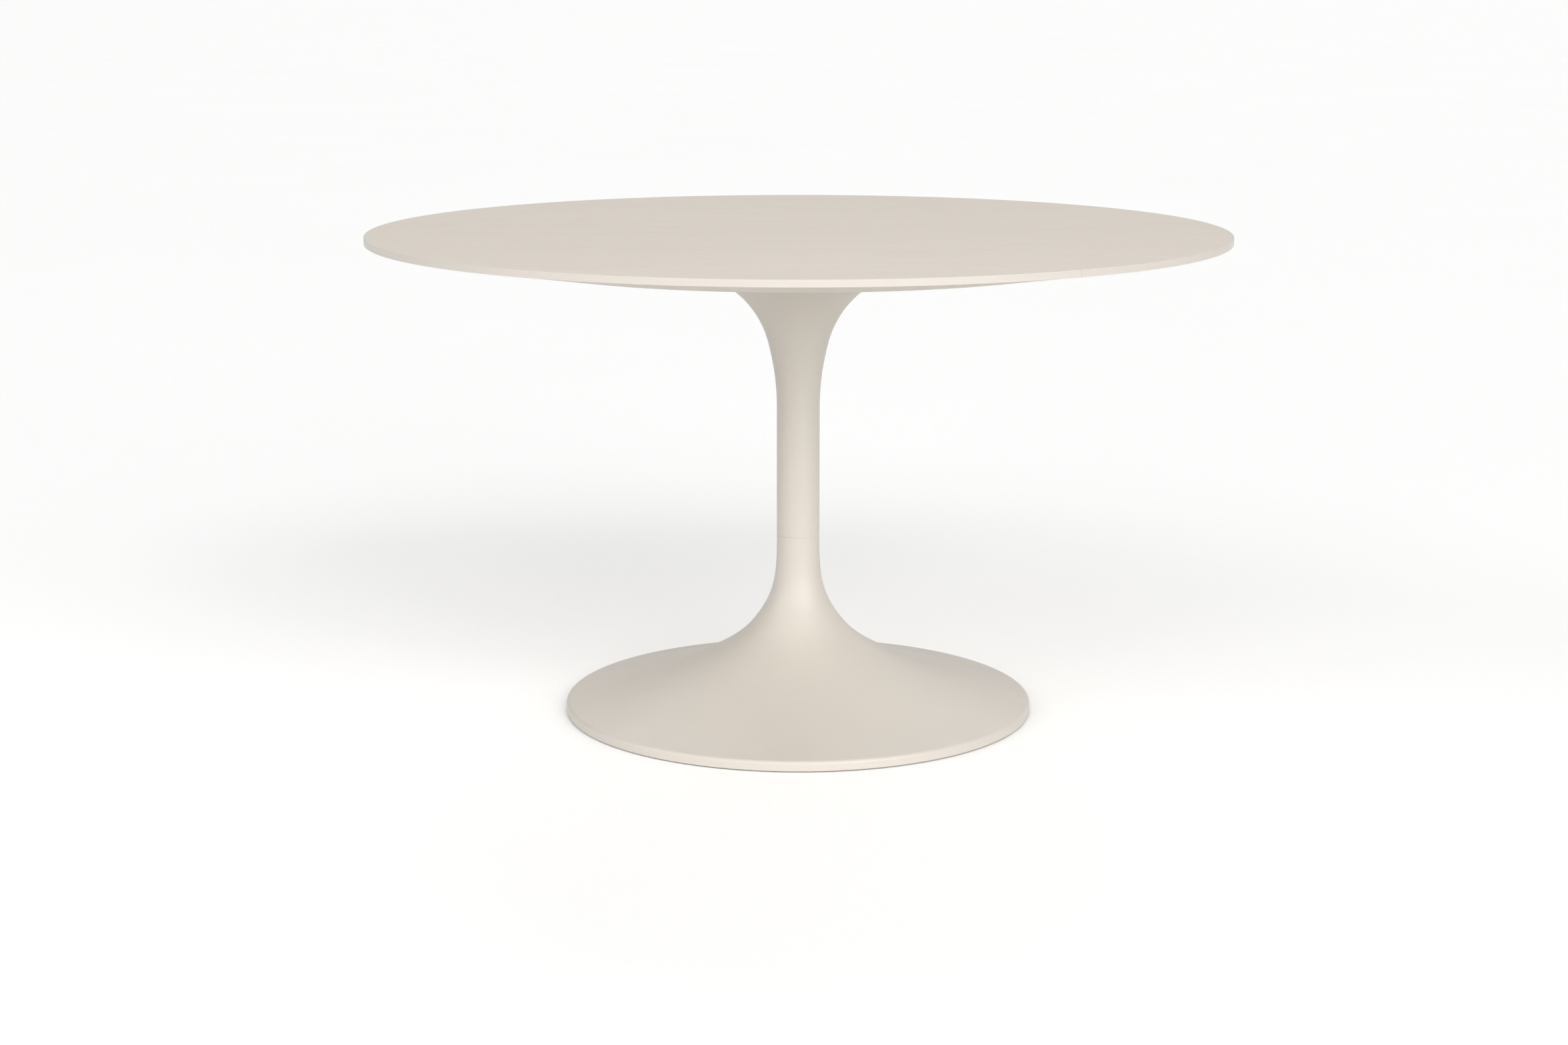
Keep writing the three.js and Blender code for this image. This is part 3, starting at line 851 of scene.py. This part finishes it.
def fasteners():
    for i, node in enumerate(numbered("threaded_insert"), 1):
        threaded_insert(node, f"brass_insert_{i}")
    for i, node in enumerate(numbered("mounting_screw"), 1):
        screw(node, f"m6_plate_screw_{i}", shank=PLATE_SCREW_SHANK, head_height=3.5, socket=4)
    for i, node in enumerate(numbered("ballast_screw"), 1):
        screw(node, f"m8_ballast_screw_{i}", shank=BALLAST_SCREW_SHANK, head_height=2.6, socket=5)
    for i, node in enumerate(numbered("base_plate_screw"), 1):
        screw(node, f"m5_cover_screw_{i}", shank=COVER_SCREW_SHANK, head_height=2.4, socket=3)


# ---- Levelling glides -----------------------------------------------------------------------------

def glide_stud(node, name):
    """A stud with a key's hole in its foot, a neck for the pad, a flange and a thread."""
    low, high = span(node)
    flange = (high.x - low.x) / 2
    flange_low, flange_high = STUD_FLANGE_Z
    pitch, depth = STUD_THREAD
    chamfer = 0.3
    neck_height = 2.7
    socket_depth = 1.6
    rings = [
        (0, low.z + socket_depth),
        hexagon(STUD_SOCKET, low.z + socket_depth),
        hexagon(STUD_SOCKET, low.z),
        (STUD_NECK_RADIUS - chamfer, low.z),
        (STUD_NECK_RADIUS, low.z + chamfer),
        (STUD_NECK_RADIUS, low.z + neck_height),
        *filleted([(0, flange_low), (flange, flange_low, 0.4), (flange, flange_high, 0.4),
                   (STUD_RADIUS, flange_high)])[1:],
        *thread(STUD_RADIUS, STUD_THREAD_Z, high.z - 0.6, pitch, depth),
        (STUD_RADIUS - depth - TIP_CHAMFER, high.z),
        (0, high.z),
    ]
    dress(spin(name, rings, SCREW_SIDES, centre=middle(node)), node, STEEL)


def glide_pad(node, name):
    """A foot with a groove round its underside and a recess for the stud's flange."""
    low, high = span(node)
    rim = (high.x - low.x) / 2
    groove_start, groove_end = (rim - inset for inset in PAD_GROOVE)
    groove_z = low.z + PAD_GROOVE_DEPTH
    recess_z = high.z - PAD_RECESS_DEPTH
    recess_slope = 0.5
    edge = 0.3
    outline = filleted([
        (PAD_BORE, low.z, edge),
        (groove_start, low.z, edge),
        (groove_start + PAD_GROOVE_DEPTH, groove_z, edge),
        (groove_end - PAD_GROOVE_DEPTH, groove_z, edge),
        (groove_end, low.z, edge),
        (rim, low.z, 0.8),
        (rim, high.z, 1.0),
        (PAD_RECESS_RADIUS, high.z, 0.4),
        (PAD_RECESS_RADIUS - recess_slope, recess_z, edge),
        (PAD_BORE, recess_z),
    ])
    dress(spin(name, outline, HARDWARE_SIDES, centre=middle(node)), node, NYLON)


def glides():
    for i, node in enumerate(numbered("glide_nut"), 1):
        nut(node, f"weld_nut_{i}", STUD_NUT_BORE)
    for i, node in enumerate(numbered("glide_stud"), 1):
        glide_stud(node, f"threaded_stud_{i}")
    for i, node in enumerate(numbered("glide_pad"), 1):
        glide_pad(node, f"nylon_pad_{i}")


# ---- Stage ----------------------------------------------------------------------------------------

CAMERA_DISTANCE = 4.147  # metres in front of the table's axis
CAMERA_HEIGHT = 1.1605
CAMERA_PITCH = math.radians(11.725)  # below level
CAMERA_YAW = math.radians(0.31)  # to the left
SENSOR_WIDTH = 36  # millimetres, as for the lens
LENS = 61.34694
FLOOR_HALF_WIDTH = 300
SUN_DISTANCE = 5  # only where the lamp stands; its light comes from far off

HORIZON_STRENGTH = 0.8
SKY_STRENGTH = 0.48
SKY_START = 0.2  # sine of the height above the horizon


def camera():
    data = bpy.data.cameras.new("camera")
    data.sensor_width = SENSOR_WIDTH
    data.lens = LENS
    eye = bpy.data.objects.new("camera", data)
    eye.location = (0, -CAMERA_DISTANCE, CAMERA_HEIGHT)
    eye.rotation_euler = (math.pi / 2 - CAMERA_PITCH, 0, CAMERA_YAW)
    bpy.context.scene.collection.objects.link(eye)
    bpy.context.scene.camera = eye


def hang(name, kind, place, target):
    """A light at a place, aimed at a target."""
    data = bpy.data.lights.new(name, kind)
    light = bpy.data.objects.new(name, data)
    light.location = place
    light.rotation_euler = (Vector(target) - Vector(place)).to_track_quat("-Z", "Y").to_euler()
    bpy.context.scene.collection.objects.link(light)
    return data


def softbox(name, place, target, size, watts):
    """A rectangular light near the table."""
    data = hang(name, "AREA", place, target)
    data.shape = "RECTANGLE"
    data.size, data.size_y = size
    data.energy = watts


def window(name, azimuth, elevation, strength, spread=35):
    """Even, soft light from one side; azimuth 0 is the front and 90 is the right."""
    turn = math.radians(azimuth)
    rise = math.radians(elevation)
    towards = (math.sin(turn) * math.cos(rise), -math.cos(turn) * math.cos(rise), math.sin(rise))
    data = hang(name, "SUN", Vector(towards) * SUN_DISTANCE, (0, 0, 0))
    data.angle = math.radians(spread)
    data.energy = strength


def floor():
    mesh = bmesh.new()
    bmesh.ops.create_grid(mesh, x_segments=1, y_segments=1, size=FLOOR_HALF_WIDTH)
    piece = finished("studio_floor", mesh)
    look = Look("studio_floor", 0.8, specular=0.2)
    look.shade((0.93, 0.93, 0.925), look.between(look.noise(0.6), 0.995, 1.005))
    piece.data.materials.append(look.material)


def surround():
    """A white world that dims from the horizon to overhead."""
    world = bpy.data.worlds.new("studio")
    world.use_nodes = True
    nodes = world.node_tree.nodes
    links = world.node_tree.links
    direction = nodes.new("ShaderNodeTexCoord").outputs["Generated"]
    parts = nodes.new("ShaderNodeSeparateXYZ")
    fade = nodes.new("ShaderNodeMapRange")
    fade.inputs["From Max"].default_value = SKY_START
    fade.inputs["To Min"].default_value = HORIZON_STRENGTH
    fade.inputs["To Max"].default_value = SKY_STRENGTH
    links.new(direction, parts.inputs["Vector"])
    links.new(parts.outputs["Z"], fade.inputs["Value"])
    links.new(fade.outputs["Result"], nodes["Background"].inputs["Strength"])
    nodes["Background"].inputs["Color"].default_value = (1, 1, 1, 1)
    bpy.context.scene.world = world


def lights():
    window("key_window", 35, 18, 1.85, spread=50)
    softbox("overhead_softbox", (0, -2.2, 2.6), (0, -0.3, 0.75), (2.0, 1.6), 15.6)
    window("front_window", 0, 20, 1.12, spread=60)
    window("front_left_window", -35, 22, 0.38)
    window("left_window", -70, 27, 0.5)
    window("back_window", 180, 40, 0.56)
    window("back_right_window", 150, 20, 0.18)


tabletop()
column()
base()
mounting_plate()
sleeve()
base_plate()
ballast()
tie_rod()
rod_nuts()
clamp_washer()
split_washer()
fasteners()
glides()
camera()
floor()
surround()
lights()
bpy.context.scene.view_settings.view_transform = "Standard"
